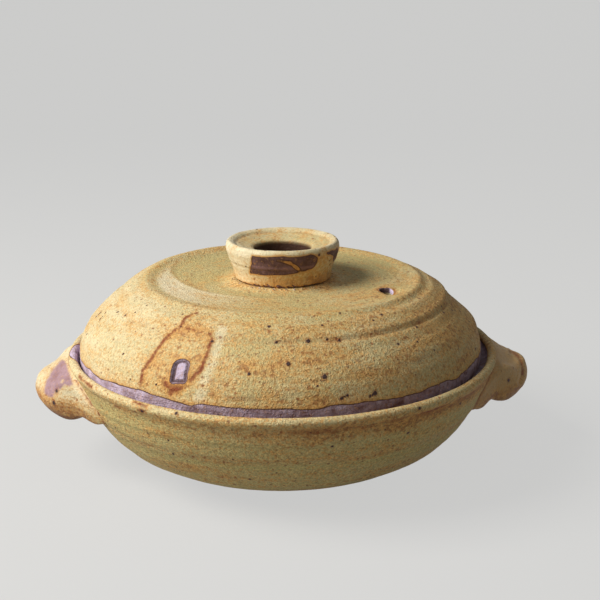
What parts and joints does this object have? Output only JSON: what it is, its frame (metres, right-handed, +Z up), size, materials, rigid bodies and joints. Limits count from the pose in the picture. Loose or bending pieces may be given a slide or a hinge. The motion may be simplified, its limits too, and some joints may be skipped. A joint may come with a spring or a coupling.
{
  "type": "lidded clay cooking pot",
  "caption": "Round stoneware hot pot with two lug handles and a loose domed lid that sits in a gallery inside the rim and lifts by a flared ring knob.",
  "frame": {"origin": "centre of the foot ring, on the surface that the pot stands on", "axes": "+Z up, +X along the two lug handles towards the right one, -Y towards the front"},
  "size_m": [0.312, 0.2672, 0.14],
  "materials": {
    "ash_glazed_stoneware": "matte ash glaze over iron-brown clay"
  },
  "bodies": {
    "pot": {"pot_bowl": "ash_glazed_stoneware", "left_handle": "ash_glazed_stoneware", "right_handle": "ash_glazed_stoneware"},
    "lid": {"lid_dome": "ash_glazed_stoneware", "lid_knob": "ash_glazed_stoneware"}
  },
  "joints": [
    {"name": "lid_lift", "type": "slide", "parent": "pot", "child": "lid", "axis": [0, 0, 1], "range_m": [0, 0.16]}
  ]
}
